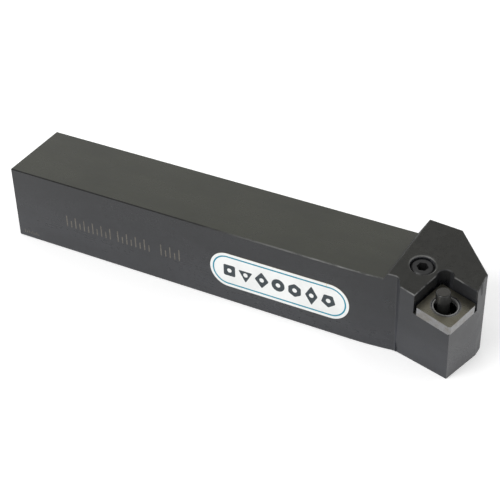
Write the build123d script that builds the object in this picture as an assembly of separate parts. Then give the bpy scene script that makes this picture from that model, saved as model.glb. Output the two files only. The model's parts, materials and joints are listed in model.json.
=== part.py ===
from build123d import *
import os
from math import atan2, cos, degrees, radians, sin, tan

# Left-hand turning tool holder with a 75 degree end-cutting head and lever clamping.
# Millimetres. +X runs along the shank to the cutting end, +Y to the side that backs against the
# tool post, +Z up. The origin is the middle of the plain shank's base face.

# Shank
SHANK_WIDTH = 25.0
SHANK_HEIGHT = 25.0
TOOL_LENGTH = 150.0  # rear end to the cutting corner
HEAD_LENGTH = 33.0  # cutting corner back to the end of the plain shank
FUNCTION_WIDTH = 32.0  # backing side to the cutting corner
SHANK_CHAMFER = 0.3

# Insert that the pocket is made for
INSERT_SIDE = 12.7
INSERT_THICKNESS = 4.76
END_EDGE_ANGLE = 15.0  # end cutting edge from square across the shank
RAKE = 6.0  # the seat drops by this angle along both cutting edges

# Head
HEAD_TOP_DROP = 0.45  # head's top face below the insert's cutting plane, at the screw
HEAD_TOP_TILT = 2.0  # further fall of the head's top towards the open side
FLANK_SET_BACK = 0.4  # side flank behind the insert's side cutting edge
END_FLANK_SET_BACK = 0.65  # end flank behind the end cutting edge, at the cutting plane
END_FLANK_CLEARANCE = 4.0  # end flank's lean from vertical
BLUNT_END_PROJECTION = 2.6  # blunt end face past the cutting corner, at the cutting plane
BLUNT_END_CLEARANCE = 1.4
BACK_CORNER_LENGTH = 12.4  # cut along each side by the 45 degree back corner, from the blunt end
RAMP_LENGTH = 23.0  # cutting corner back to the foot of the ramp on the shank's top
RAMP_ANGLE = 30.0  # ramp from vertical
NECK_LENGTH = 14.3
NECK_DEPTH = 1.0
NECK_CORNER_RADIUS = 1.5
NECK_RUN_OUT_ANGLE = 60.0  # neck's last wall from the shank's side
HEAD_CHAMFER = 0.25
HEAD_STOCK = 12.0  # forged stock above the shank's top, all milled away

# Insert pocket and the shim in it
CORNER_RELIEF_RADIUS = 2.4
CORNER_RELIEF_INSET = (1.2, 2.0)  # relief's centre in from the end wall and the side wall
SHIM_SIDE = 11.8
SHIM_THICKNESS = 3.0
SHIM_SET_BACK = 0.3  # shim inside the insert's cutting edges
SHIM_CORNER_RADIUS = 0.8
SHIM_HOLE_CLEARANCE = 0.05  # on the radius, round the shim pin
SHIM_COUNTERSINK_RADIUS = 3.9

# Shim pin, a split spring sleeve pressed in the pocket's bore
PIN_RADIUS = 3.55
PIN_WALL = 0.3
PIN_LENGTH = 6.3
PIN_DROP = 0.12  # collar below the shim's top
PIN_SLOT = 0.8

# Lever, drawn in its released pose and stored clamped
LEVER_SWING = 7.6
LEVER_HEAD_RADIUS = 2.1
LEVER_HEAD_HEIGHT = 3.2
LEVER_HEAD_ROUND = 0.35
LEVER_NECK_RADIUS = 1.8
LEVER_TOP_DROP = 0.8  # lever's top below the cutting plane, released
LEVER_ARM_WIDTH = 3.8
HEEL_RADIUS = 2.2
HEEL_OFFSET = 0.7  # heel's centre behind the upright's axis
HEEL_DEPTH = 14.2  # heel's centre below the cutting plane
ARM_TIP_RADIUS = 1.3
ARM_NECK_RADIUS = 1.1
LEVER_CLEARANCE = 0.05  # under the heel
SLOT_CLEARANCE = 0.2  # each side of the arm
SLOT_ROOF_DEPTH = 10.8  # roof of the slot to the screw, below the cutting plane
SLOT_NICK = 0.4  # bite of the slot's round end into the pocket's side wall
SLOT_NICK_DEPTH = 4.0  # top of that bite below the cutting plane

# Lever screw
SCREW_POSITION = (10.65, 17.95)  # from the cutting corner, along the end edge and the side edge
SCREW_RECESS = 0.5  # screw's top below the head's top
SCREW_HEAD_RADIUS = 3.4
SCREW_HEAD_CHAMFER = 0.6
SCREW_GROOVE_RADIUS = 2.2
SCREW_THREAD_RADIUS = 4.0
SCREW_THREAD_LENGTH = 6.0
SCREW_THREAD_CHAMFER = 0.5
GROOVE_CLEARANCE = 0.1  # above and below the arm's tip
TIP_REACH_CLEARANCE = 0.3  # arm's tip to the bottom of the groove
HEAD_CLEARANCE = 0.1  # round the screw's head
THREAD_CLEARANCE = 0.05
HEX_KEY = 3.0
HEX_DEPTH = 4.0
BORE_MOUTH_RADIUS = 4.15

# Label on the shank's open side
LABEL_LENGTH = 46.0
LABEL_HEIGHT = 12.6
LABEL_THICKNESS = 0.12
LABEL_CENTRE = (93.9, 11.7)  # from the rear end and up from the base

CUTTER = 200.0

# Places that follow from the sizes above
PLAIN_LENGTH = TOOL_LENGTH - HEAD_LENGTH
REAR_X = -PLAIN_LENGTH / 2
CORNER_X = REAR_X + TOOL_LENGTH
BACK_Y = SHANK_WIDTH / 2
FRONT_Y = -SHANK_WIDTH / 2
CORNER = Vector(CORNER_X, BACK_Y - FUNCTION_WIDTH, SHANK_HEIGHT)
RAMP_FOOT_X = CORNER_X - RAMP_LENGTH
FLOOR_DEPTH = INSERT_THICKNESS + SHIM_THICKNESS


def cutting_frame():
    """The insert's cutting plane: origin on the cutting corner, local X along the end edge,
    local Y along the side edge and local Z up out of the seat."""
    a, t = radians(END_EDGE_ANGLE), radians(RAKE)
    along_end = Vector(sin(a) * cos(t), cos(a) * cos(t), sin(t))
    along_side = Vector(-cos(a) * cos(t), sin(a) * cos(t), sin(t))
    return Plane(CORNER, x_dir=along_end, z_dir=along_end.cross(along_side))


CUTTING = cutting_frame()
SEAT_CENTRE = SHIM_SET_BACK + SHIM_SIDE / 2
SCREW_OFFSET = Vector(SCREW_POSITION[0] - SEAT_CENTRE, SCREW_POSITION[1] - SEAT_CENTRE)
SCREW_DISTANCE = SCREW_OFFSET.length
LEVER_TURN = degrees(atan2(SCREW_OFFSET.Y, SCREW_OFFSET.X))

# Lever plane coordinates are distance towards the screw and height above the cutting plane.
HEEL = (-HEEL_OFFSET, -HEEL_DEPTH)
ARM_TIP = (
    SCREW_DISTANCE - SCREW_GROOVE_RADIUS - TIP_REACH_CLEARANCE - ARM_TIP_RADIUS,
    -HEEL_DEPTH,
)
ARM_REACH = ARM_TIP[0] - HEEL[0]
SCREW_TRAVEL = ARM_REACH * sin(radians(LEVER_SWING))
GROOVE_DEPTH = HEEL_DEPTH + SCREW_TRAVEL
GROOVE_HALF = ARM_TIP_RADIUS + GROOVE_CLEARANCE


def seat_point(x, y, z=0.0):
    """A point given in the cutting frame, as a location there."""
    return CUTTING.location * Pos(x, y, z)


def lever_plane():
    """Upright plane through the seat's centre and the screw: local X to the screw, local Y up."""
    place = seat_point(SEAT_CENTRE, SEAT_CENTRE) * Rot(0, 0, LEVER_TURN) * Rot(90, 0, 0)
    return Plane(place)


def in_front_of(face):
    """All the stock in front of a face, as a cutter far larger than the tool."""
    return face.location * Pos(0, 0, CUTTER / 2) * Box(CUTTER, CUTTER, CUTTER)


def leaning_face(point, heading, lean):
    """A flank through a point, facing the heading in plan and overhanging its foot by the lean."""
    h, e = radians(heading), radians(lean)
    return Plane(point, z_dir=Vector(cos(h) * cos(e), sin(h) * cos(e), -sin(e)))


def shank_and_stock():
    """Shank bar with the head's stock rising from the ramp, before the flanks are milled."""
    past_end = CORNER_X + HEAD_STOCK
    top = SHANK_HEIGHT + HEAD_STOCK
    side = Polyline(
        (REAR_X, 0),
        (past_end, 0),
        (past_end, top),
        (RAMP_FOOT_X + HEAD_STOCK * tan(radians(RAMP_ANGLE)), top),
        (RAMP_FOOT_X, SHANK_HEIGHT),
        (REAR_X, SHANK_HEIGHT),
        close=True,
    )
    profile = Plane.XZ.offset(-BACK_Y) * make_face(side)
    return extrude(profile, FUNCTION_WIDTH + HEAD_STOCK)


def neck_cutter():
    """What is milled off the front side: down to the shank's side, then a shallow hollow that
    ends in a small radius and a wall running out to the side flank."""
    plain_end = REAR_X + PLAIN_LENGTH
    deep = Vector(plain_end + NECK_LENGTH, FRONT_Y + NECK_DEPTH)
    run = radians(-NECK_RUN_OUT_ANGLE)
    out = deep + Vector(cos(run), sin(run)) * CUTTER
    hollow = TangentArc((plain_end, FRONT_Y), deep, tangent=(1, 0))
    outline = hollow + Polyline(
        deep, out, (REAR_X - HEAD_STOCK, out.Y), (REAR_X - HEAD_STOCK, FRONT_Y), (plain_end, FRONT_Y)
    )
    plan = make_face(outline)
    corner = plan.vertices().sort_by_distance(deep)[0]
    return extrude(fillet(corner, NECK_CORNER_RADIUS), SHANK_HEIGHT + HEAD_STOCK)


def head_top():
    """Plane of the head's top face, through the middle of the screw's bore."""
    middle = seat_point(*SCREW_POSITION, -HEAD_TOP_DROP).position
    return Plane(middle, z_dir=CUTTING.z_dir.rotate(Axis.X, HEAD_TOP_TILT))


def head_cutters():
    """What is milled off round the head: its top, the flanks under the two cutting edges, the
    blunt end and the back corner."""
    side = Plane(seat_point(FLANK_SET_BACK, 0) * Rot(0, -90, 0))
    past_neck = Plane((REAR_X + PLAIN_LENGTH + NECK_LENGTH, 0, 0), z_dir=(1, 0, 0))
    end_point = seat_point(0, END_FLANK_SET_BACK).position
    blunt_x = CORNER_X + BLUNT_END_PROJECTION
    back_corner = Vector(blunt_x - BACK_CORNER_LENGTH, BACK_Y)
    return [
        in_front_of(head_top()),
        in_front_of(side) & in_front_of(past_neck),
        in_front_of(leaning_face(end_point, -END_EDGE_ANGLE, END_FLANK_CLEARANCE)),
        in_front_of(leaning_face(Vector(blunt_x, 0, SHANK_HEIGHT), 0, BLUNT_END_CLEARANCE)),
        in_front_of(Plane(back_corner, z_dir=(1, 1, 0))),
    ]


def insert_pocket():
    """Corner pocket, open at both cutting edges, with a drilled relief in its inner corner."""
    size = INSERT_SIDE + CUTTER
    walls = Box(size, size, CUTTER, align=Align.MIN)
    walls = seat_point(-CUTTER, -CUTTER, -FLOOR_DEPTH) * walls
    x = INSERT_SIDE - CORNER_RELIEF_INSET[0]
    y = INSERT_SIDE - CORNER_RELIEF_INSET[1]
    relief = Cylinder(CORNER_RELIEF_RADIUS, CUTTER, align=(Align.CENTER, Align.CENTER, Align.MIN))
    return [walls, seat_point(x, y, -FLOOR_DEPTH) * relief]


def rod(radius, bottom, top):
    """Upright cylinder between two heights."""
    return Pos(0, 0, bottom) * Cylinder(
        radius, top - bottom, align=(Align.CENTER, Align.CENTER, Align.MIN)
    )


def lever_space():
    """Bore for the shim pin and the heel, and the slot where the arm reaches to the screw. The
    arm goes in through the slot's open part, whose round end nicks the pocket's side wall."""
    centre = seat_point(SEAT_CENTRE, SEAT_CENTRE) * Rot(0, 0, LEVER_TURN)
    bore_floor = -(HEEL_DEPTH + HEEL_RADIUS + LEVER_CLEARANCE)
    slot_floor = -(GROOVE_DEPTH + ARM_TIP_RADIUS + SLOT_CLEARANCE)
    half_width = LEVER_ARM_WIDTH / 2 + SLOT_CLEARANCE
    wall_distance = INSERT_SIDE + SLOT_NICK - SEAT_CENTRE
    open_reach = (wall_distance - half_width) / sin(radians(LEVER_TURN))

    def slot(length, roof):
        return centre * Pos(0, 0, slot_floor) * Box(
            length, 2 * half_width, roof - slot_floor, align=(Align.MIN, Align.CENTER, Align.MIN)
        )

    return [
        centre * rod(PIN_RADIUS, bore_floor, 0),
        slot(open_reach, -SLOT_NICK_DEPTH),
        centre * Pos(open_reach, 0) * rod(half_width, slot_floor, -SLOT_NICK_DEPTH),
        slot(SCREW_DISTANCE, -SLOT_ROOF_DEPTH),
    ]


def screw_bore():
    """Plain bore for the screw's head with a rounded mouth, tapped from below."""
    axis = seat_point(*SCREW_POSITION)
    plain = SCREW_HEAD_RADIUS + HEAD_CLEARANCE
    tapped = SCREW_THREAD_RADIUS + THREAD_CLEARANCE
    tapped_top = -(GROOVE_DEPTH + GROOVE_HALF) + SCREW_TRAVEL + SLOT_CLEARANCE
    lip = BORE_MOUTH_RADIUS - plain
    mouth = rod(BORE_MOUTH_RADIUS, -HEAD_TOP_DROP - lip, HEAD_STOCK)
    mouth -= Pos(0, 0, -HEAD_TOP_DROP - lip) * Torus(BORE_MOUTH_RADIUS, lip)
    return [
        axis * rod(plain, -SHANK_HEIGHT, HEAD_STOCK),
        axis * rod(tapped, -SHANK_HEIGHT - HEAD_STOCK, tapped_top),
        axis * mouth,
    ]


def chamfer_shank(body):
    """Bevels along the shank's long edges and round its rear end."""
    long_edges = ShapeList()
    for y in (FRONT_Y, BACK_Y):
        for z in (0, SHANK_HEIGHT):
            on_line = [e for e in body.edges().filter_by(Axis.X)
                       if abs(e.center().Y - y) < 1e-3 and abs(e.center().Z - z) < 1e-3]
            long_edges += on_line
    rear = body.faces().sort_by(Axis.X)[0].edges()
    return chamfer(long_edges + rear, SHANK_CHAMFER)


def holder_body():
    body = shank_and_stock() - neck_cutter()
    for cutter in head_cutters():
        body -= cutter
    body = chamfer_shank(body)
    for cutter in insert_pocket():
        body -= cutter
    rim = body.faces().sort_by_distance(seat_point(*SCREW_POSITION, -HEAD_TOP_DROP).position)[0]
    body = chamfer(rim.edges(), HEAD_CHAMFER)
    for cutter in lever_space() + screw_bore():
        body -= cutter
    return body


def shim():
    plate = Box(SHIM_SIDE, SHIM_SIDE, SHIM_THICKNESS, align=(Align.CENTER, Align.CENTER, Align.MIN))
    plate = fillet(plate.edges().filter_by(Axis.Z), SHIM_CORNER_RADIUS)
    hole = PIN_RADIUS + SHIM_HOLE_CLEARANCE
    bevel = SHIM_COUNTERSINK_RADIUS - hole
    plate -= rod(hole, 0, SHIM_THICKNESS)
    plate -= Pos(0, 0, SHIM_THICKNESS - bevel / 2) * Cone(hole, SHIM_COUNTERSINK_RADIUS, bevel)
    return seat_point(SEAT_CENTRE, SEAT_CENTRE, -FLOOR_DEPTH) * plate


def shim_pin():
    """Split sleeve with a flared collar that sits in the shim's countersink."""
    flare = SHIM_COUNTERSINK_RADIUS - SHIM_HOLE_CLEARANCE - PIN_RADIUS - PIN_DROP
    bore = PIN_RADIUS - PIN_WALL
    section = Polyline(
        (bore, -PIN_LENGTH),
        (PIN_RADIUS, -PIN_LENGTH),
        (PIN_RADIUS, -flare),
        (PIN_RADIUS + flare, 0),
        (bore + flare, 0),
        (bore, -flare),
        close=True,
    )
    sleeve = revolve(Plane.XZ * make_face(section), Axis.Z)
    sleeve -= Pos(PIN_RADIUS, 0, -PIN_LENGTH / 2) * Box(2 * PIN_RADIUS, PIN_SLOT, 2 * PIN_LENGTH)
    top = -(INSERT_THICKNESS + PIN_DROP)
    return seat_point(SEAT_CENTRE, SEAT_CENTRE, top) * Rot(0, 0, LEVER_TURN) * sleeve


def lever():
    """Rocking lever: round head and neck, a heel that rocks in the bore's foot, and an arm whose
    rounded tip sits in the screw's groove."""
    heel = Pos(*HEEL) * Circle(HEEL_RADIUS)
    shoulder = Pos(0, -HEEL_DEPTH + HEEL_RADIUS + LEVER_NECK_RADIUS) * Circle(LEVER_NECK_RADIUS)
    arm_end = Pos(*ARM_TIP) * Circle(ARM_NECK_RADIUS)
    upright = make_hull(heel.edges() + shoulder.edges())
    arm = make_hull(heel.edges() + arm_end.edges())
    profile = upright + arm + Pos(*ARM_TIP) * Circle(ARM_TIP_RADIUS)
    knee = extrude(profile, LEVER_ARM_WIDTH / 2, both=True)
    head_foot = -(LEVER_TOP_DROP + LEVER_HEAD_HEIGHT)
    head = rod(LEVER_HEAD_RADIUS, head_foot, -LEVER_TOP_DROP)
    head = fillet(head.edges().group_by(Axis.Z)[-1], LEVER_HEAD_ROUND)
    neck = rod(LEVER_NECK_RADIUS, -HEEL_DEPTH + HEEL_RADIUS, head_foot)
    whole = knee + Rot(-90, 0, 0) * (head + neck)
    clamped = Pos(*HEEL) * Rot(0, 0, -LEVER_SWING) * Pos(-HEEL[0], -HEEL[1]) * whole
    return lever_plane().location * clamped


def lever_screw():
    """Grooved screw: socket head above, the groove that moves the lever, thread below."""
    top = -(HEAD_TOP_DROP + SCREW_RECESS)
    groove_top = -GROOVE_DEPTH + GROOVE_HALF
    groove_bottom = -GROOVE_DEPTH - GROOVE_HALF
    head = rod(SCREW_HEAD_RADIUS, groove_top, top)
    head = chamfer(head.edges().group_by(Axis.Z)[-1], SCREW_HEAD_CHAMFER)
    thread = rod(SCREW_THREAD_RADIUS, groove_bottom - SCREW_THREAD_LENGTH, groove_bottom)
    thread = chamfer(thread.edges().group_by(Axis.Z)[0], SCREW_THREAD_CHAMFER)
    screw = head + rod(SCREW_GROOVE_RADIUS, groove_bottom, groove_top) + thread
    socket = extrude(RegularPolygon(HEX_KEY / 2, 6, major_radius=False), HEX_DEPTH)
    screw -= Pos(0, 0, top - HEX_DEPTH) * socket
    return seat_point(*SCREW_POSITION) * screw


def side_label():
    """Thin adhesive label with round ends, stuck on the shank's open side."""
    x, z = REAR_X + LABEL_CENTRE[0], LABEL_CENTRE[1]
    face = Plane((x, FRONT_Y, z), x_dir=(1, 0, 0), z_dir=(0, -1, 0))
    return extrude(face * SlotOverall(LABEL_LENGTH, LABEL_HEIGHT), LABEL_THICKNESS)


PARTS = {
    "holder_body": holder_body,
    "shim": shim,
    "shim_pin": shim_pin,
    "lever": lever,
    "lever_screw": lever_screw,
    "side_label": side_label,
}


if __name__ == "__main__":
    os.makedirs("parts", exist_ok=True)
    for name, build in PARTS.items():
        export_step(build(), f"parts/{name}.step")
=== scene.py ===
"""Finish and small details of a left-hand turning tool holder: blackened steel body, ground carbide
shim, sprung sleeve, clamping lever, threaded screw, printed label and etched marks."""

import json
import math

import bmesh
import bpy
from mathutils import Matrix, Vector


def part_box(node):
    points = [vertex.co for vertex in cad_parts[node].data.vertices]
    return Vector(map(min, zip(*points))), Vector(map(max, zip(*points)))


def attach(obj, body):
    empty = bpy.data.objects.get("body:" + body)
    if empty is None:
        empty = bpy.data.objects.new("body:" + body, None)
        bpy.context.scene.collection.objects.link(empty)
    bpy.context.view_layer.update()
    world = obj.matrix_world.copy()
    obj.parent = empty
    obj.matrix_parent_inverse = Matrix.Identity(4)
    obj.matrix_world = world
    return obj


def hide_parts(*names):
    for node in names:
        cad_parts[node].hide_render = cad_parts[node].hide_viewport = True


bl_info = {
    "name": "Turning tool holder",
    "version": (1, 0, 0),
    "blender": (4, 5, 0),
    "location": "View3D > Sidebar > Tool holder",
    "description": "Finishes the tool holder's pieces and sets up the stage",
    "category": "Object",
}

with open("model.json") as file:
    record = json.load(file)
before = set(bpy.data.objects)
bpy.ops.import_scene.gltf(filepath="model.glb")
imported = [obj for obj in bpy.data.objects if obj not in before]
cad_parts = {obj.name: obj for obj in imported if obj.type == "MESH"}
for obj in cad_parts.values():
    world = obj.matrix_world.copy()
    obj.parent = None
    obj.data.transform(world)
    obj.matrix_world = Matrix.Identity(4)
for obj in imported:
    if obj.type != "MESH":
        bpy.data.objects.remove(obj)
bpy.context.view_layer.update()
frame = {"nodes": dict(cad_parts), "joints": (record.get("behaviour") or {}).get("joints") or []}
NODES = frame["nodes"]
MM = 0.001

# Places on the holder, in millimetres, that the finishes and the new pieces follow.
REAR_X = (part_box("holder_body")[0] / MM).x
SHANK_HEIGHT = 25.0
SIDE_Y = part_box("side_label")[1].y / MM  # the shank's open side
LABEL_FACE_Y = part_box("side_label")[0].y / MM
LABEL_CENTRE = Vector((35.735, 0.0, 11.69))
LABEL_TURN = math.radians(-0.14)
CREASE_X, CREASE_Z = 15.6, 4.4  # crease in the film, from its centre: place along it and lower end
RAMP_FOOT_X = 68.5  # where the shank's top starts to rise to the head
NECK_CORNER_X = 71.3  # where the neck runs into the head
HANDLED_X = (-5.0, 60.0)  # the bevels are painted near black as painted shade before this stretch and rubbed after it
SCREW_AXIS = Vector(next(j["axis"] for j in frame["joints"] if j["name"] == "screw_travel"))
BORE_FOOT = Vector((74.868, -1.237, 0.0))  # where the tapped bore's axis leaves the base
MOUTH_RADIUS = 4.15  # of the screw's bore at the head's top
KEY_SWING = (-0.5, 0.866, 0.0)  # the way that the hexagon key rubs the mouth
PIN_TOP = Vector((86.772, -11.407, 21.581))  # middle of the sleeve at the shim's top
SLEEVE_EDGE = (3.82, 3.95)  # radii round the sleeve over which the painted shade of the gap round it ends on the shim
TOP_TINT_EDGE = (4.0, 4.5)  # radii round the sleeve over which the shim's lapped top and its painted reflection tint begin; inside them the top keeps the flanks' grey, a painted reflection of the chamfer
SHADOW_TOP = (-1.75, -1.6)  # heights from the sleeve's top over which its painted shadow ends
CUTTING_CORNER = Vector((91.5, -19.5, SHANK_HEIGHT))
# Directions along the insert's two outer edges and out of its seat, from the cutting corner.
CUTTING_AXES = (
    (0.2574, 0.9606, 0.1045), (-0.9635, 0.2469, 0.1034), (0.073512, -0.127327, 0.989133),
)
POCKET_LOW, POCKET_HIGH = (1.0, 1.0, -4.6), (16.5, 16.5, 6.0)  # limits of the pocket on those axes

MILLING_CENTRE = Vector((60.0, -40.0, 0.0))  # of the rings that milling left on the head's top
# Length, width, lean round each axis and strength of the two sets of fine marks on the body.
SCRATCHES = ((9.0, 0.07, (0.3, 0.45, 0.2), 0.5), (5.0, 0.05, (0.1, -0.9, -0.5), 0.4))
# Roughness that these parts of the body have over its other faces.
REAR_BEVEL_MATT, RAMP_EDGE_MATT, POCKET_MATT, CORNER_MATT, BLUNT_END_MATT = 0.3, 0.35, 0.25, 0.4, 0.16
DIELECTRIC_IOR = 1.5
GRINDING_TURN = math.radians(30)  # grinding lines of the shim, turned with the pocket
UPRIGHT = Matrix.Rotation(math.radians(90), 4, "X")  # turns a flat outline to face the front


# ---------------------------------------------------------------- settings that a user would change
class HolderSteel(bpy.types.PropertyGroup):
    """Blackened steel of the holder's body."""

    # The olive tint of the oxide on faces that look up is a painted reflection.
    top_oxide_and_sheen: bpy.props.FloatVectorProperty(
        name="Top", description="Oxide on faces that look up", subtype="COLOR", size=3,
        default=(0.0165, 0.018, 0.008), min=0, max=1,
    )
    head_colour: bpy.props.FloatVectorProperty(
        name="Head", description="Oxide on the head's milled top", subtype="COLOR", size=3,
        default=(0.022, 0.022, 0.019), min=0, max=1,
    )
    side_colour: bpy.props.FloatVectorProperty(
        name="Sides", description="Oxide on upright faces", subtype="COLOR", size=3,
        default=(0.018, 0.019, 0.022), min=0, max=1,
    )
    worn_colour: bpy.props.FloatVectorProperty(
        name="Worn edges", description="Bare steel that shows on bevels", subtype="COLOR", size=3,
        default=(0.42, 0.42, 0.41), min=0, max=1,
    )
    wear: bpy.props.FloatProperty(
        name="Wear", description="Share of the bevels rubbed bare", subtype="FACTOR",
        default=0.3, min=0, max=1,
    )
    mouth_wear: bpy.props.FloatProperty(
        name="Mouth wear", description="Share of the bore's rounded mouth rubbed bare",
        subtype="FACTOR", default=0.5, min=0, max=1,
    )
    roughness: bpy.props.FloatProperty(
        name="Roughness", description="Roughness of the oxide", subtype="FACTOR",
        default=0.3, min=0, max=1,
    )
    bevel_matt: bpy.props.FloatProperty(
        name="Matt bevels", description="Roughness that the bevels have over the faces",
        subtype="FACTOR", default=0.2, min=0, max=1,
    )


class ClampSteel(bpy.types.PropertyGroup):
    """Colours of the pieces that hold the insert."""

    lever_colour: bpy.props.FloatVectorProperty(
        name="Lever", description="Hardened lever", subtype="COLOR", size=3,
        default=(0.012, 0.012, 0.0115), min=0, max=1,
    )
    lever_end_colour: bpy.props.FloatVectorProperty(
        name="Lever's end", description="Ground end of the lever", subtype="COLOR", size=3,
        default=(0.024, 0.022, 0.0165), min=0, max=1,
    )
    screw_colour: bpy.props.FloatVectorProperty(
        name="Screw", description="Black screw", subtype="COLOR", size=3,
        default=(0.015, 0.015, 0.015), min=0, max=1,
    )
    sleeve_colour: bpy.props.FloatVectorProperty(
        name="Sleeve", description="Spring steel sleeve", subtype="COLOR", size=3,
        default=(0.45, 0.45, 0.44), min=0, max=1,
    )
    carbide_colour: bpy.props.FloatVectorProperty(
        name="Carbide", description="Ground flanks of the shim", subtype="COLOR", size=3,
        default=(0.26, 0.26, 0.265), min=0, max=1,
    )
    # The shim top's brown tint is a painted reflection.
    shim_top_reflection_tint: bpy.props.FloatVectorProperty(
        name="Lapped top", description="Top of the shim", subtype="COLOR", size=3,
        default=(0.28, 0.265, 0.205), min=0, max=1,
    )
    thread_pitch: bpy.props.FloatProperty(
        name="Thread pitch", description="Rise of the screw's thread in one turn", unit="LENGTH",
        default=1.0 * MM, min=0.2 * MM, max=3 * MM,
    )


class LabelPrint(bpy.types.PropertyGroup):
    """Printed label on the shank's open side."""

    length: bpy.props.FloatProperty(
        name="Length", description="Length of the label over its round ends", unit="LENGTH",
        default=45.5 * MM, min=15 * MM, max=46 * MM,
    )
    height: bpy.props.FloatProperty(
        name="Height", description="Height of the label", unit="LENGTH",
        default=11.9 * MM, min=5 * MM, max=12.6 * MM,
    )
    film_colour: bpy.props.FloatVectorProperty(
        name="Film", description="White film", subtype="COLOR", size=3,
        default=(0.86, 0.87, 0.86), min=0, max=1,
    )
    teal: bpy.props.FloatVectorProperty(
        name="Teal", description="Teal ink", subtype="COLOR", size=3,
        default=(0.0, 0.24, 0.345), min=0, max=1,
    )
    grey: bpy.props.FloatVectorProperty(
        name="Grey", description="Dark grey ink", subtype="COLOR", size=3,
        default=(0.022, 0.034, 0.042), min=0, max=1,
    )
    border: bpy.props.FloatProperty(
        name="Border", description="Width of the line round the label", unit="LENGTH",
        default=0.45 * MM, min=0.1 * MM, max=1 * MM,
    )


class EtchedMarks(bpy.types.PropertyGroup):
    """Groups of plain strokes etched on the shank's open side."""

    colour: bpy.props.FloatVectorProperty(
        name="Colour", description="Etched oxide", subtype="COLOR", size=3,
        default=(0.17, 0.155, 0.13), min=0, max=1,
    )
    height: bpy.props.FloatProperty(
        name="Height", description="Height of the tall strokes", unit="LENGTH",
        default=4.0 * MM, min=0.5 * MM, max=8 * MM,
    )
    stroke: bpy.props.FloatProperty(
        name="Stroke", description="Width of a stroke", unit="LENGTH",
        default=0.36 * MM, min=0.1 * MM, max=1 * MM,
    )


class Stage(bpy.types.PropertyGroup):
    """Floor, light and camera."""

    floor_size: bpy.props.FloatProperty(
        name="Floor", description="Side of the floor", unit="LENGTH", default=8.0, min=1, max=50,
    )
    floor_colour: bpy.props.FloatVectorProperty(
        name="Floor colour", description="Colour of the floor", subtype="COLOR", size=3,
        default=(0.9, 0.9, 0.9), min=0, max=1,
    )
    lens: bpy.props.FloatProperty(
        name="Lens", description="Camera's focal length in millimetres on a 36 mm sensor",
        default=99.397, min=10, max=400,
    )


SETTINGS = {
    "holder_steel": HolderSteel,
    "clamp_steel": ClampSteel,
    "label_print": LabelPrint,
    "etched_marks": EtchedMarks,
    "holder_stage": Stage,
}


# ---------------------------------------------------------------- node helpers
class Nodes:
    """A node tree under construction: adds nodes and joins them."""

    def __init__(self, tree):
        self.tree = tree
        self.coords = tree.nodes.new("ShaderNodeTexCoord").outputs

    def node(self, kind, inputs=None, **settings):
        node = self.tree.nodes.new(kind)
        for key, value in settings.items():
            setattr(node, key, value)
        for key, value in (inputs or {}).items():
            self.feed(value, node.inputs[key])
        return node

    def feed(self, value, socket):
        """Links a socket or sets its value. A colour of three numbers is opaque."""
        if isinstance(value, bpy.types.NodeSocket):
            self.tree.links.new(value, socket)
        elif socket.type == "RGBA" and len(value) == 3:
            socket.default_value = (*value, 1.0)
        else:
            socket.default_value = value

    def math(self, operation, a, b=0.0):
        return self.node("ShaderNodeMath", {0: a, 1: b}, operation=operation).outputs[0]

    def times(self, product, *others):
        for other in others:
            product = self.math("MULTIPLY", product, other)
        return product

    def plus(self, total, *others):
        for other in others:
            total = self.math("ADD", total, other)
        return total

    def highest(self, value, *others):
        for other in others:
            value = self.math("MAXIMUM", value, other)
        return value

    def rest_of(self, value):
        """What is left of 1."""
        return self.math("SUBTRACT", 1.0, value)

    def ramp(self, value, low, high, out_low=0.0, out_high=1.0):
        """Smooth step from one value to another as the input rises from low to high."""
        inputs = {
            "Value": value,
            "From Min": low, "From Max": high, "To Min": out_low, "To Max": out_high,
        }
        node = self.node("ShaderNodeMapRange", inputs, interpolation_type="SMOOTHSTEP")
        return node.outputs["Result"]

    def vector(self, operation, a, b=(0.0, 0.0, 0.0)):
        node = self.node("ShaderNodeVectorMath", {0: a, 1: tuple(b)}, operation=operation)
        return node.outputs["Value" if operation in {"DOT_PRODUCT", "LENGTH"} else "Vector"]

    def split(self, vector):
        return self.node("ShaderNodeSeparateXYZ", {"Vector": vector}).outputs


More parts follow.
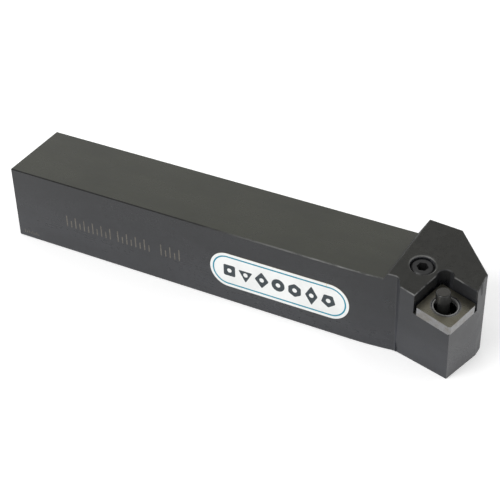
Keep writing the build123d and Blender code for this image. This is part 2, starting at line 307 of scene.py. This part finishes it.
class Finish(Nodes):
    """A material under construction. Its lengths are in millimetres."""

    NOISE_RANGE = (0.3, 0.7)  # where most of a noise's values lie

    def __init__(self, name):
        self.material = bpy.data.materials.new(name)
        self.material.use_nodes = True
        super().__init__(self.material.node_tree)
        self.shader = self.tree.nodes["Principled BSDF"]
        self.normal = self.split(self.coords["Normal"])

    def mix(self, factor, a, b):
        """Colour between a and b."""
        return self.node("ShaderNodeMix", {0: factor, 6: a, 7: b}, data_type="RGBA").outputs[2]

    def shaded(self, colour, shade):
        """A colour times a shade."""
        node = self.node("ShaderNodeVectorMath", {0: colour, "Scale": shade}, operation="SCALE")
        return node.outputs[0]

    def place(self, scale=(1.0, 1.0, 1.0), turn=(0.0, 0.0, 0.0), shift=(0.0, 0.0, 0.0)):
        """Object coordinates, stretched, turned or moved for a pattern."""
        scale = [s / MM for s in scale]
        node = self.node(
            "ShaderNodeMapping",
            {"Vector": self.coords["Object"], "Scale": scale, "Rotation": turn, "Location": shift},
        )
        return node.outputs["Vector"]

    def place_from(self, point):
        """Object coordinates from a point."""
        return self.vector("SUBTRACT", self.place(), point)

    def off_axis(self, point, axis):
        """Distance from a line through a point."""
        return self.vector("LENGTH", self.vector("CROSS_PRODUCT", self.place_from(point), axis))

    def noise(self, size, detail=3.0, stretch=(1.0, 1.0, 1.0), turn=(0.0, 0.0, 0.0), rough=0.5):
        """Noise with features of a size, longer where stretch is above 1."""
        scale = [1.0 / (size * s) for s in stretch]
        node = self.node(
            "ShaderNodeTexNoise",
            {"Vector": self.place(scale, turn), "Scale": 1.0, "Detail": detail, "Roughness": rough},
        )
        return node.outputs["Fac"]

    def spread(self, noise, low, high):
        """A noise stretched from one value to another."""
        return self.ramp(noise, *self.NOISE_RANGE, low, high)

    def bump(self, height, depth, strength=1.0, over=None):
        """Bump from a height of 0 to 1 that stands for a depth, over another bump."""
        inputs = {"Height": height, "Distance": depth * MM, "Strength": strength}
        if over is not None:
            inputs["Normal"] = over
        return self.node("ShaderNodeBump", inputs).outputs["Normal"]

    def finish(self, **sockets):
        """Feeds the shader's sockets, named with _ for a space."""
        for key, value in sockets.items():
            self.feed(value, self.shader.inputs[key.replace("_", " ")])
        return self.material


def paint(piece, material):
    piece.data.materials.clear()
    piece.data.materials.append(material)


# ---------------------------------------------------------------- finishes
def bevel_mask(f):
    """1 on faces bevelled at about 45 degrees, up or down."""
    steep = f.math("ABSOLUTE", f.normal["Z"])
    return f.times(f.ramp(steep, 0.52, 0.62), f.ramp(steep, 0.80, 0.90, 1.0, 0.0))


def scratches(f, length, width, turn, amount):
    """Sparse thin marks of a length and width, leaning by an angle round each axis."""
    streak = f.noise(width, detail=1.0, stretch=(length / width, 1.0, 1.0), turn=turn)
    patch = f.noise(14.0, detail=2.0)
    return f.times(f.ramp(streak, 0.76, 0.82), f.ramp(patch, 0.45, 0.6, 0.0, amount))


def pocket_mask(f):
    """1 on the walls of the insert's pocket and its relieved corner, over the seat."""
    fade = 0.2
    from_corner = f.place_from(CUTTING_CORNER)
    steps = []
    for axis, low, high in zip(CUTTING_AXES, POCKET_LOW, POCKET_HIGH):
        along = f.vector("DOT_PRODUCT", from_corner, axis)
        steps += [f.ramp(along, low, low + fade), f.ramp(along, high - fade, high, 1.0, 0.0)]
    return f.times(*steps)


def mouth_mask(f):
    """1 on the rounded mouth of the screw's bore where the key rubs it most."""
    radius = f.off_axis(BORE_FOOT, SCREW_AXIS)
    inner = f.ramp(radius, MOUTH_RADIUS - 0.55, MOUTH_RADIUS - 0.35)
    outer = f.ramp(radius, MOUTH_RADIUS - 0.02, MOUTH_RADIUS + 0.1, 1.0, 0.0)
    high = f.ramp(f.split(f.place())["Z"], SHANK_HEIGHT, SHANK_HEIGHT + 1.0)
    lean = f.vector("DOT_PRODUCT", f.coords["Normal"], KEY_SWING)
    swept = f.plus(f.ramp(lean, 0.03, 0.2), f.ramp(lean, -0.45, -0.15, 0.55, 0.0))
    return f.times(inner, outer, high, swept)


def blackened_steel(settings):
    """Oxide over ground shank faces and milled head faces, rubbed thin on the bevels, with painted
    light and shade: an olive painted reflection on the top, sides lighter near the floor, a
    lightened neck corner, a darkened pocket and near-black rear bevels.
    """
    f = Finish("blackened_steel")
    place = f.split(f.place())
    # where each part of the body is
    facing_up = f.ramp(f.normal["Z"], 0.55, 0.9)
    facing_rear = f.ramp(f.normal["X"], -0.2, -0.35)
    upright = f.ramp(f.math("ABSOLUTE", f.normal["Z"]), 0.2, 0.4, 1.0, 0.0)
    end_face = f.ramp(f.math("ABSOLUTE", f.normal["X"]), 0.8, 0.95)
    blunt_end = f.ramp(f.normal["X"], 0.97, 0.99)
    on_head = f.ramp(place["X"], RAMP_FOOT_X, RAMP_FOOT_X + 1.0)
    ramp_edge = f.times(f.ramp(place["X"], RAMP_FOOT_X - 1.0, RAMP_FOOT_X), facing_rear)
    past_neck = f.ramp(place["X"], NECK_CORNER_X, NECK_CORNER_X + 0.5)
    neck_corner = f.times(past_neck, facing_rear, upright)
    pocket = f.times(pocket_mask(f), f.rest_of(facing_up))
    bevel = bevel_mask(f)
    handled = f.ramp(place["X"], *HANDLED_X)
    # bevels towards the rear end, painted dark as painted shade
    rear_bevel_shade = f.times(bevel, f.rest_of(handled))

    # patterns, from the largest to the smallest
    cloud = f.noise(11.0, detail=5.0, stretch=(2.5, 1.0, 1.0), rough=0.6)
    rubbed = f.ramp(f.noise(3.0, detail=5.0, stretch=(4.0, 1.0, 1.0), rough=0.65), 0.42, 0.62)
    blotch = f.noise(2.2, detail=4.0, rough=0.6)
    speck = f.noise(0.3, detail=3.0)
    marks = f.highest(*(scratches(f, *scratch) for scratch in SCRATCHES))
    grinding = f.noise(0.14, detail=3.0, stretch=(70.0, 1.0, 1.0))
    sawing = f.noise(0.25, detail=3.0, stretch=(1.0, 30.0, 1.0), turn=(0.25, 0.0, 0.0))
    milling = f.node(
        "ShaderNodeTexWave",
        {"Vector": f.place(shift=-MILLING_CENTRE), "Scale": 0.9,
         "Distortion": 2.5, "Detail": 3.0, "Detail Scale": 1.5, "Detail Roughness": 0.7},
        wave_type="RINGS", rings_direction="Z",
    ).outputs["Fac"]

    # oxide, with painted light and shade
    # painted light: the sides are lighter towards the floor and darker towards the top, for the
    # floor's bounce
    side = f.shaded(settings.side_colour, f.ramp(place["Z"], 0.0, SHANK_HEIGHT, 1.35, 0.7))
    # faces that look up take the top colour, whose olive tint is a painted reflection
    colour = f.mix(facing_up, side, settings.top_oxide_and_sheen)
    colour = f.mix(f.times(on_head, facing_up), colour, settings.head_colour)
    # random tone, plus painted light that lightens the run-out wall in the neck's corner
    shade = f.plus(
        f.spread(cloud, 0.86, 1.12), f.spread(blotch, -0.08, 0.08),
        f.spread(speck, -0.12, 0.12), f.times(neck_corner, 0.9),
    )
    # painted shade: the pocket's walls are darkened by 0.4 in the recess
    oxide = f.shaded(colour, f.times(shade, f.rest_of(f.times(pocket, 0.4))))
    # painted shade: the rear bevels are painted near black
    oxide = f.mix(f.times(rear_bevel_shade, 0.9), oxide, (0.002, 0.002, 0.002))
    # bare steel
    bare = f.highest(
        f.times(bevel, rubbed, handled, settings.wear),
        f.times(marks, 0.15),
        f.times(mouth_mask(f), settings.mouth_wear),
    )
    colour = f.mix(bare, oxide, settings.worn_colour)

    ground = f.plus(f.times(grinding, f.rest_of(end_face)), f.times(sawing, end_face))
    lines = f.plus(f.times(milling, on_head, 0.25), f.times(ground, f.rest_of(on_head)))
    rough = f.plus(
        f.ramp(lines, 0.2, 0.8, -0.02, 0.03), settings.roughness,
        f.spread(cloud, 0.03, -0.03), f.spread(blotch, -0.02, 0.03),
        f.times(bevel, settings.bevel_matt), f.times(rear_bevel_shade, REAR_BEVEL_MATT),
        f.times(ramp_edge, RAMP_EDGE_MATT), f.times(pocket, POCKET_MATT),
        f.times(neck_corner, CORNER_MATT), f.times(blunt_end, BLUNT_END_MATT),
    )
    surface = f.bump(speck, 0.003, over=f.bump(lines, 0.0022))
    surface = f.bump(marks, 0.003, strength=0.4, over=surface)
    return f.finish(
        Base_Color=colour, Roughness=rough, Metallic=bare, Normal=surface, IOR=DIELECTRIC_IOR,
    )


def dark_steel(name, colour, roughness, end_colour, polish=0.0):
    """Blackened small part: a ground end of its own colour, with a polished rounding round it."""
    f = Finish(name)
    lean = f.vector("DOT_PRODUCT", f.coords["Normal"], SCREW_AXIS)
    end = f.ramp(lean, 0.95, 0.99)
    rounding = f.times(f.ramp(lean, 0.3, 0.5), f.rest_of(end))
    speck = f.noise(0.25, detail=3.0)
    turned = f.noise(0.12, detail=2.0, stretch=(12.0, 12.0, 1.0))
    tone = f.mix(end, colour, end_colour)
    tone = f.mix(f.ramp(speck, 0.35, 0.7, 0.0, 0.25), tone, [c * 0.6 for c in colour])
    rough = f.plus(
        f.spread(speck, roughness - 0.05, roughness + 0.06),
        f.spread(turned, -0.03, 0.03),
        f.times(rounding, -polish),
    )
    surface = f.bump(turned, 0.002, over=f.bump(speck, 0.004))
    return f.finish(Base_Color=tone, Roughness=rough, Normal=surface, IOR=DIELECTRIC_IOR)


def ground_carbide(settings):
    """Grey carbide, browner on the lapped top as a painted reflection, with fine crossing grinding
    lines and painted shade round the sleeve.
    """
    f = Finish("ground_carbide")
    gap_shade, stain, pore = (0.03, 0.03, 0.03), (0.16, 0.13, 0.08), (0.12, 0.12, 0.12)
    lines = f.noise(0.08, detail=2.0, stretch=(1.0, 30.0, 1.0), turn=(0.0, 0.0, GRINDING_TURN))
    cross = f.noise(0.10, detail=2.0, stretch=(30.0, 1.0, 1.0), turn=(0.0, 0.0, GRINDING_TURN))
    marks = f.plus(f.times(lines, 0.5), f.times(cross, 0.5))
    cloud = f.noise(2.5, detail=4.0)
    grain = f.noise(0.12, detail=3.0)
    radius = f.off_axis(PIN_TOP, SCREW_AXIS)
    # the top's brown tint is a painted reflection; close round the sleeve it keeps the flanks'
    # grey, a painted reflection of the chamfer
    lapped = f.times(f.ramp(f.normal["Z"], 0.7, 0.95), f.ramp(radius, *TOP_TINT_EDGE))
    colour = f.mix(lapped, settings.carbide_colour, settings.shim_top_reflection_tint)
    # painted shade: the shim is painted dark in the gap round the sleeve
    colour = f.mix(f.ramp(radius, *SLEEVE_EDGE, 0.85, 0.0), colour, gap_shade)
    colour = f.mix(f.ramp(cloud, 0.42, 0.7), colour, f.mix(0.35, colour, stain))
    colour = f.mix(f.ramp(grain, 0.3, 0.75, 0.0, 0.35), colour, pore)
    rough = f.plus(
        f.ramp(marks, 0.35, 0.65, 0.20, 0.28), f.spread(cloud, 0.0, 0.05),
        f.times(lapped, 0.05),
    )
    surface = f.bump(grain, 0.003, over=f.bump(marks, 0.003))
    return f.finish(Base_Color=colour, Roughness=rough, Metallic=1.0, Normal=surface)


def spring_steel(settings):
    """Drawn spring steel, bright at its open end and painted black deeper in as painted shadow."""
    f = Finish("spring_steel")
    height = f.vector("DOT_PRODUCT", f.place_from(PIN_TOP), SCREW_AXIS)
    deep_shadow = f.ramp(height, *SHADOW_TOP, 1.0, 0.0)
    drawn = f.noise(0.1, detail=2.0, stretch=(1.0, 1.0, 20.0))
    dull = [c * 0.7 for c in settings.sleeve_colour]
    colour = f.mix(f.ramp(drawn, 0.35, 0.7), dull, settings.sleeve_colour)
    # painted shadow: the sleeve is painted near black below its top
    colour = f.mix(deep_shadow, colour, (0.01, 0.01, 0.01))
    rough = f.spread(drawn, 0.20, 0.34)
    return f.finish(Base_Color=colour, Roughness=rough, Metallic=0.7, Normal=f.bump(drawn, 0.002))


def label_film(settings):
    """White printed film, faintly mottled, yellowed at its cut edge and along a short crease."""
    f = Finish("label_film")
    place = f.split(f.place())
    on_face = f.ramp(f.math("ABSOLUTE", f.normal["Y"]), 0.5, 0.8)
    cloud = f.noise(5.0, detail=4.0)
    grain = f.noise(0.3, detail=2.0)
    dull = [c * 0.94 for c in settings.film_colour]
    white = f.mix(f.ramp(cloud, 0.35, 0.65), dull, settings.film_colour)
    across = f.math("ABSOLUTE", f.math("SUBTRACT", place["X"], LABEL_CENTRE.x + CREASE_X))
    lower_end = LABEL_CENTRE.z + CREASE_Z
    along = f.ramp(place["Z"], lower_end, lower_end + 0.8)
    crease = f.times(f.ramp(across, 0.05, 0.28, 1.0, 0.0), along)
    creased = f.mix(f.times(crease, 0.6), white, (0.72, 0.63, 0.36))
    colour = f.mix(on_face, (0.62, 0.56, 0.40), creased)
    rough = f.spread(grain, 0.30, 0.38)
    surface = f.bump(grain, 0.004, over=f.bump(cloud, 0.02))
    return f.finish(Base_Color=colour, Roughness=rough, Normal=surface)


def ink(name, colour):
    """Printing ink, a little patchy."""
    f = Finish(name)
    grain = f.noise(0.2, detail=2.0)
    tone = f.mix(f.ramp(grain, 0.3, 0.75, 0.0, 0.25), colour, [c * 0.75 for c in colour])
    return f.finish(Base_Color=tone, Roughness=f.spread(grain, 0.42, 0.5))


def etched_oxide(settings):
    """Pale burnt dots of a marking laser, uneven along each stroke."""
    f = Finish("etched_oxide")
    dots = f.noise(0.18, detail=2.0)
    dark = [c * 0.45 for c in settings.colour]
    colour = f.mix(f.ramp(dots, 0.35, 0.6), dark, settings.colour)
    rough = f.spread(dots, 0.6, 0.8)
    return f.finish(Base_Color=colour, Roughness=rough, Normal=f.bump(dots, 0.01))


# ---------------------------------------------------------------- mesh helpers
def link_mesh(name, bm, material):
    """A new object at the origin from a bmesh."""
    mesh = bpy.data.meshes.new(name)
    bm.to_mesh(mesh)
    bm.free()
    piece = bpy.data.objects.new(name, mesh)
    bpy.context.scene.collection.objects.link(piece)
    paint(piece, material)
    return piece


def piece_from(bm, name, body, material):
    """A new piece from a bmesh in millimetres, scaled to metres, that rides on a body."""
    bmesh.ops.scale(bm, vec=(MM, MM, MM), verts=bm.verts)
    bmesh.ops.recalc_face_normals(bm, faces=bm.faces)
    piece = link_mesh(name, bm, material)
    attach(piece, body)
    return piece


def rounded_bar(bm, centre, length, height, radius, segments):
    """A flat face with rounded corners, facing the front, added to a bmesh."""
    x, z = length / 2, height / 2
    corners = [bm.verts.new((centre[0] + a * x, 0.0, centre[1] + b * z))
               for a, b in ((-1, -1), (1, -1), (1, 1), (-1, 1))]
    bm.faces.new(corners)
    bmesh.ops.bevel(
        bm, geom=corners, offset=radius, segments=segments, profile=0.5,
        affect="VERTICES", material=-1,
    )


def insert_outline(corners, radius, squash, turn, corner_radius):
    """Outline of an insert seen from above, as a bmesh of one rounded face round the origin."""
    bm = bmesh.new()
    bmesh.ops.create_circle(bm, cap_ends=True, segments=corners, radius=radius, matrix=UPRIGHT)
    bmesh.ops.scale(bm, vec=(squash, 1.0, 1.0 / squash), verts=bm.verts)
    bmesh.ops.rotate(bm, verts=bm.verts, cent=(0, 0, 0), matrix=Matrix.Rotation(turn, 3, "Y"))
    if corner_radius:
        bmesh.ops.bevel(
            bm, geom=list(bm.verts), offset=corner_radius, segments=5, profile=0.5,
            affect="VERTICES", material=-1,
        )
    return bm


def add_outline(target, outline, centre, hole):
    """Gives an outline a round hole, moves it to its centre and adds it to a print."""
    count = len(outline.verts)
    bmesh.ops.delete(outline, geom=list(outline.faces), context="FACES_ONLY")
    bmesh.ops.create_circle(outline, segments=count, radius=hole, matrix=UPRIGHT)
    bmesh.ops.bridge_loops(outline, edges=list(outline.edges))
    bmesh.ops.translate(outline, verts=outline.verts, vec=(centre[0], 0.0, centre[1]))
    part = bpy.data.meshes.new("outline")
    outline.to_mesh(part)
    outline.free()
    target.from_mesh(part)
    bpy.data.meshes.remove(part)


def raise_prints(bm, back_y, thickness):
    """Gives flat outlines a thickness, standing out to the front from a height on Y."""
    bmesh.ops.translate(bm, verts=bm.verts, vec=(0.0, back_y, 0.0))
    made = bmesh.ops.extrude_face_region(bm, geom=list(bm.faces))
    front = [v for v in made["geom"] if isinstance(v, bmesh.types.BMVert)]
    bmesh.ops.translate(bm, verts=front, vec=(0.0, -thickness, 0.0))


# ---------------------------------------------------------------- operators
class FinishBody(bpy.types.Operator):
    """Blackened steel for the holder's body"""

    bl_idname = "tool_holder.finish_body"
    bl_label = "Finish the body"

    def execute(self, context):
        paint(NODES["holder_body"], blackened_steel(context.scene.holder_steel))
        return {"FINISHED"}


class FinishClamp(bpy.types.Operator):
    """Finishes of the shim, the sleeve, the lever and the screw"""

    bl_idname = "tool_holder.finish_clamp"
    bl_label = "Finish the clamping parts"

    def execute(self, context):
        settings = context.scene.clamp_steel
        paint(NODES["shim"], ground_carbide(settings))
        paint(NODES["shim_pin"], spring_steel(settings))
        paint(NODES["lever"], dark_steel(
            "lever_steel", settings.lever_colour, 0.4, settings.lever_end_colour, polish=0.24,
        ))
        paint(NODES["lever_screw"], dark_steel(
            "screw_steel", settings.screw_colour, 0.42, settings.screw_colour,
        ))
        return {"FINISHED"}


class PrintLabel(bpy.types.Operator):
    """Film of the label, a little out of level, with a border and a row of plain insert shapes"""

    bl_idname = "tool_holder.print_label"
    bl_label = "Print the label"

    ROUND_END = 0.4995  # of the film's height: just under a half, so that no two corners meet
    END_SEGMENTS = 24
    MARGIN = 0.9  # from the film's edge to the border
    RIM = 0.04  # rounding of the film's cut edge
    PRINT_THICKNESS = 0.02
    FIRST_X, PITCH = -16.2, 5.4  # of the insert shapes, from the label's middle
    # corners, radius, squash, turn in degrees and corner radius of each insert shape
    SHAPES = (
        (4, 2.75, 1.0, 45, 0.5),
        (3, 2.7, 1.0, 180, 0.4),
        (4, 2.6, 0.90, 0, 0.4),
        (32, 2.15, 1.0, 0, 0.0),
        (6, 2.35, 1.0, 0, 0.35),
        (4, 2.6, 0.78, 0, 0.3),
        (5, 2.4, 1.0, 180, 0.35),
    )
    HOLE = 0.75  # radius of the hole in each

    def on_label(self, bm):
        """Turns and moves a print from the label's own middle to its place on the shank."""
        turn = Matrix.Rotation(LABEL_TURN, 3, "Y")
        bmesh.ops.rotate(bm, verts=bm.verts, cent=(0, 0, 0), matrix=turn)
        bmesh.ops.translate(bm, verts=bm.verts, vec=(LABEL_CENTRE.x, 0.0, LABEL_CENTRE.z))

    def oval(self, bm, settings, margin):
        """The label's outline, or one inside it by a margin."""
        length, height = (size / MM - 2 * margin for size in (settings.length, settings.height))
        rounded_bar(bm, (0, 0), length, height, height * self.ROUND_END, self.END_SEGMENTS)

    def film(self, settings):
        bm = bmesh.new()
        self.oval(bm, settings, 0.0)
        self.on_label(bm)
        raise_prints(bm, SIDE_Y, SIDE_Y - LABEL_FACE_Y)
        front = LABEL_FACE_Y + self.RIM / 2
        rim = [e for e in bm.edges if all(v.co.y < front for v in e.verts)]
        bmesh.ops.bevel(
            bm, geom=rim, offset=self.RIM, segments=3, profile=0.5, affect="EDGES", material=-1,
        )
        film = piece_from(bm, "label_film", "holder", label_film(settings))
        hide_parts("side_label")

    def border(self, bm, settings):
        """Line that runs round the label inside its edge."""
        self.oval(bm, settings, self.MARGIN)
        bmesh.ops.inset_region(
            bm, faces=list(bm.faces), thickness=settings.border / MM,
            use_boundary=True, use_even_offset=True,
        )
        inside = max(bm.faces, key=lambda face: len(face.verts))
        bmesh.ops.delete(bm, geom=[inside], context="FACES_ONLY")

    def execute(self, context):
        settings = context.scene.label_print
        self.film(settings)
        prints = {"teal": bmesh.new(), "grey": bmesh.new()}
        self.border(prints["teal"], settings)
        for i, (corners, radius, squash, turn, corner_radius) in enumerate(self.SHAPES):
            outline = insert_outline(corners, radius, squash, math.radians(turn), corner_radius)
            add_outline(prints["grey"], outline, (self.FIRST_X + i * self.PITCH, 0.0), self.HOLE)
        for name, bm in prints.items():
            self.on_label(bm)
            raise_prints(bm, LABEL_FACE_Y, self.PRINT_THICKNESS)
            inked = ink(f"{name}_ink", getattr(settings, name))
            piece_from(bm, f"label_{name}_print", "holder", inked)
        return {"FINISHED"}


class EtchMarks(bpy.types.Operator):
    """Groups of plain strokes on the shank's open side"""

    bl_idname = "tool_holder.etch_marks"
    bl_label = "Etch the marks"

    # start from the rear end, height of the foot, count, pitch and scale of each group of strokes
    GROUPS = (
        (19.8, 9.3, 11, 1.6, 1.0),
        (38.7, 9.3, 8, 1.6, 1.0),
        (54.2, 9.3, 5, 1.6, 1.0),
        (2.4, 1.6, 8, 0.75, 0.32),
    )
    PROUD = 0.008  # how far the strokes stand out
    ROUND_END = 0.4  # of a stroke's width
    SHORT = 0.6  # height of every second stroke, as a share of the tall ones

    def execute(self, context):
        settings = context.scene.etched_marks
        tall, width = settings.height / MM, settings.stroke / MM
        bm = bmesh.new()
        for start, foot, count, pitch, scale in self.GROUPS:
            for i in range(count):
                height = scale * (tall if i % 2 == 0 else tall * self.SHORT)
                thick = width * math.sqrt(scale)
                centre = (REAR_X + start + i * pitch, foot + height / 2)
                rounded_bar(bm, centre, thick, height, thick * self.ROUND_END, segments=3)
        raise_prints(bm, SIDE_Y, self.PROUD)
        piece_from(bm, "etched_marks", "holder", etched_oxide(settings))
        return {"FINISHED"}


class CutThread(bpy.types.Operator):
    """Thread in the foot of the tapped bore, below the screw"""

    bl_idname = "tool_holder.cut_thread"
    bl_label = "Cut the thread"

    WALL_RADIUS = 4.08  # just inside the steel round the bore
    CREST_RADIUS = 3.5
    START, END = 0.9, 5.0  # along the bore from the middle of its foot
    ROOT_HALF, CREST_HALF = 0.44, 0.06  # half widths of the ridge, in pitches
    STEPS_A_TURN = 48

    def execute(self, context):
        pitch = context.scene.clamp_steel.thread_pitch / MM
        root, crest = pitch * self.ROOT_HALF, pitch * self.CREST_HALF
        profile = ((self.WALL_RADIUS, -root), (self.CREST_RADIUS, -crest),
                   (self.CREST_RADIUS, crest), (self.WALL_RADIUS, root))
        bm = bmesh.new()
        verts = [bm.verts.new((x, 0.0, z + self.START + root)) for x, z in profile]
        edges = [bm.edges.new((verts[i - 1], verts[i])) for i in range(len(verts))]
        turns = (self.END - self.START - 2 * root) / pitch
        steps = round(turns * self.STEPS_A_TURN)
        bmesh.ops.spin(
            bm, geom=verts + edges, cent=(0, 0, 0), axis=(0, 0, 1),
            dvec=(0, 0, pitch / self.STEPS_A_TURN),
            angle=steps * 2 * math.pi / self.STEPS_A_TURN, steps=steps,
        )
        bmesh.ops.holes_fill(bm, edges=[e for e in bm.edges if e.is_boundary], sides=0)
        to_bore = Vector((0, 0, 1)).rotation_difference(SCREW_AXIS).to_matrix()
        bmesh.ops.rotate(bm, verts=bm.verts, cent=(0, 0, 0), matrix=to_bore)
        bmesh.ops.translate(bm, verts=bm.verts, vec=BORE_FOOT)
        steel = NODES["holder_body"].active_material
        piece_from(bm, "bore_thread", "holder", steel)
        return {"FINISHED"}


class SetStage(bpy.types.Operator):
    """Floor, soft light, backdrop and camera"""

    bl_idname = "tool_holder.set_stage"
    bl_label = "Set the stage"

    CAMERA_PLACE = (0.186958, -0.292220, 0.255758)
    CAMERA_RIGHT = (0.876802, 0.480118, -0.026549)
    CAMERA_UP = (-0.263688, 0.526255, 0.808408)
    SENSOR_WIDTH = 36.0
    KEY_PLACE = (-0.248, -0.689, 0.782)
    KEY_TARGET = (0.03, 0.0, 0.012)
    KEY_SIDE, KEY_POWER = 0.44, 4.2
    FLOOR_GAP = 0.05 * MM  # keeps the floor off the base's own face
    FLOOR_ROUGHNESS = 0.9
    FLOOR_LIFT = 0.34  # glow of the floor in view and in reflections
    TENT_TOP = (42, 54)  # elevation in degrees over which the white fades
    OVERHEAD = 0.37  # strength of the light above it
    WHITE = (1.0, 1.0, 1.0)

    def floor_finish(self, settings):
        """Pale floor that glows in view and in reflections, clear to a camera below it."""
        f = Finish("floor")
        rays = f.node("ShaderNodeLightPath").outputs
        seen = f.highest(*(rays[f"Is {kind} Ray"] for kind in ("Camera", "Glossy", "Transmission")))
        f.finish(
            Base_Color=settings.floor_colour, Roughness=self.FLOOR_ROUGHNESS,
            Specular_IOR_Level=0.0, Emission_Color=self.WHITE,
            Emission_Strength=f.times(seen, self.FLOOR_LIFT),
        )
        back = f.node("ShaderNodeNewGeometry").outputs["Backfacing"]
        clear = f.node("ShaderNodeBsdfTransparent").outputs[0]
        from_below = f.times(back, rays["Is Camera Ray"])
        one_sided = f.node("ShaderNodeMixShader", {0: from_below, 1: f.shader.outputs[0], 2: clear})
        output = next(n for n in f.tree.nodes if n.type == "OUTPUT_MATERIAL")
        f.feed(one_sided.outputs[0], output.inputs["Surface"])
        return f.material

    def floor(self, settings):
        bm = bmesh.new()
        bmesh.ops.create_grid(bm, x_segments=1, y_segments=1, size=settings.floor_size / 2)
        bmesh.ops.translate(bm, verts=bm.verts, vec=(0, 0, -self.FLOOR_GAP))
        link_mesh("floor", bm, self.floor_finish(settings))

    def backdrop(self, context):
        """White all round up to the top of a studio tent, and grey overhead."""
        world = bpy.data.worlds.new("studio")
        context.scene.world = world
        world.use_nodes = True
        w = Nodes(world.node_tree)
        low, high = (math.sin(math.radians(angle)) for angle in self.TENT_TOP)
        tent = w.ramp(w.split(w.coords["Generated"])["Z"], low, high, 1.0, self.OVERHEAD)
        in_view = w.node("ShaderNodeLightPath").outputs["Is Camera Ray"]
        background = w.tree.nodes["Background"]
        w.feed(w.highest(tent, in_view), background.inputs["Strength"])
        w.feed(self.WHITE, background.inputs["Color"])

    def key_box(self, context):
        light = bpy.data.lights.new("key_box", "AREA")
        light.size, light.energy = self.KEY_SIDE, self.KEY_POWER
        lamp = bpy.data.objects.new("key_box", light)
        context.scene.collection.objects.link(lamp)
        lamp.location = self.KEY_PLACE
        aim = Vector(self.KEY_TARGET) - Vector(self.KEY_PLACE)
        lamp.rotation_euler = aim.to_track_quat("-Z", "Y").to_euler()

    def camera(self, context, settings):
        data = bpy.data.cameras.new("camera")
        data.lens, data.sensor_width = settings.lens, self.SENSOR_WIDTH
        camera = bpy.data.objects.new("camera", data)
        context.scene.collection.objects.link(camera)
        right, up = Vector(self.CAMERA_RIGHT), Vector(self.CAMERA_UP)
        axes = Matrix((right, up, right.cross(up))).transposed()
        camera.matrix_world = Matrix.Translation(self.CAMERA_PLACE) @ axes.to_4x4()
        context.scene.camera = camera

    def execute(self, context):
        settings = context.scene.holder_stage
        self.floor(settings)
        self.backdrop(context)
        self.key_box(context)
        self.camera(context, settings)
        context.scene.view_settings.view_transform = "Standard"
        return {"FINISHED"}


class HolderPanel(bpy.types.Panel):
    """Tool holder's operators and settings"""

    bl_idname = "VIEW3D_PT_tool_holder"
    bl_label = "Tool holder"
    bl_space_type = "VIEW_3D"
    bl_region_type = "UI"
    bl_category = "Tool holder"

    def draw(self, context):
        for operator in OPERATORS:
            self.layout.operator(operator.bl_idname)
        for name, group in SETTINGS.items():
            box = self.layout.box()
            box.label(text=group.__doc__)
            for key in group.__annotations__:
                box.prop(getattr(context.scene, name), key)


OPERATORS = (FinishBody, FinishClamp, PrintLabel, EtchMarks, CutThread, SetStage)


def register():
    for cls in (*SETTINGS.values(), *OPERATORS, HolderPanel):
        bpy.utils.register_class(cls)
    for name, group in SETTINGS.items():
        setattr(bpy.types.Scene, name, bpy.props.PointerProperty(type=group))


def unregister():
    for name in SETTINGS:
        delattr(bpy.types.Scene, name)
    for cls in (HolderPanel, *reversed(OPERATORS), *reversed(SETTINGS.values())):
        bpy.utils.unregister_class(cls)


def main():
    register()
    bpy.ops.tool_holder.finish_body()
    bpy.ops.tool_holder.finish_clamp()
    bpy.ops.tool_holder.print_label()
    bpy.ops.tool_holder.etch_marks()
    bpy.ops.tool_holder.cut_thread()
    bpy.ops.tool_holder.set_stage()


if __name__ == "__main__":
    main()
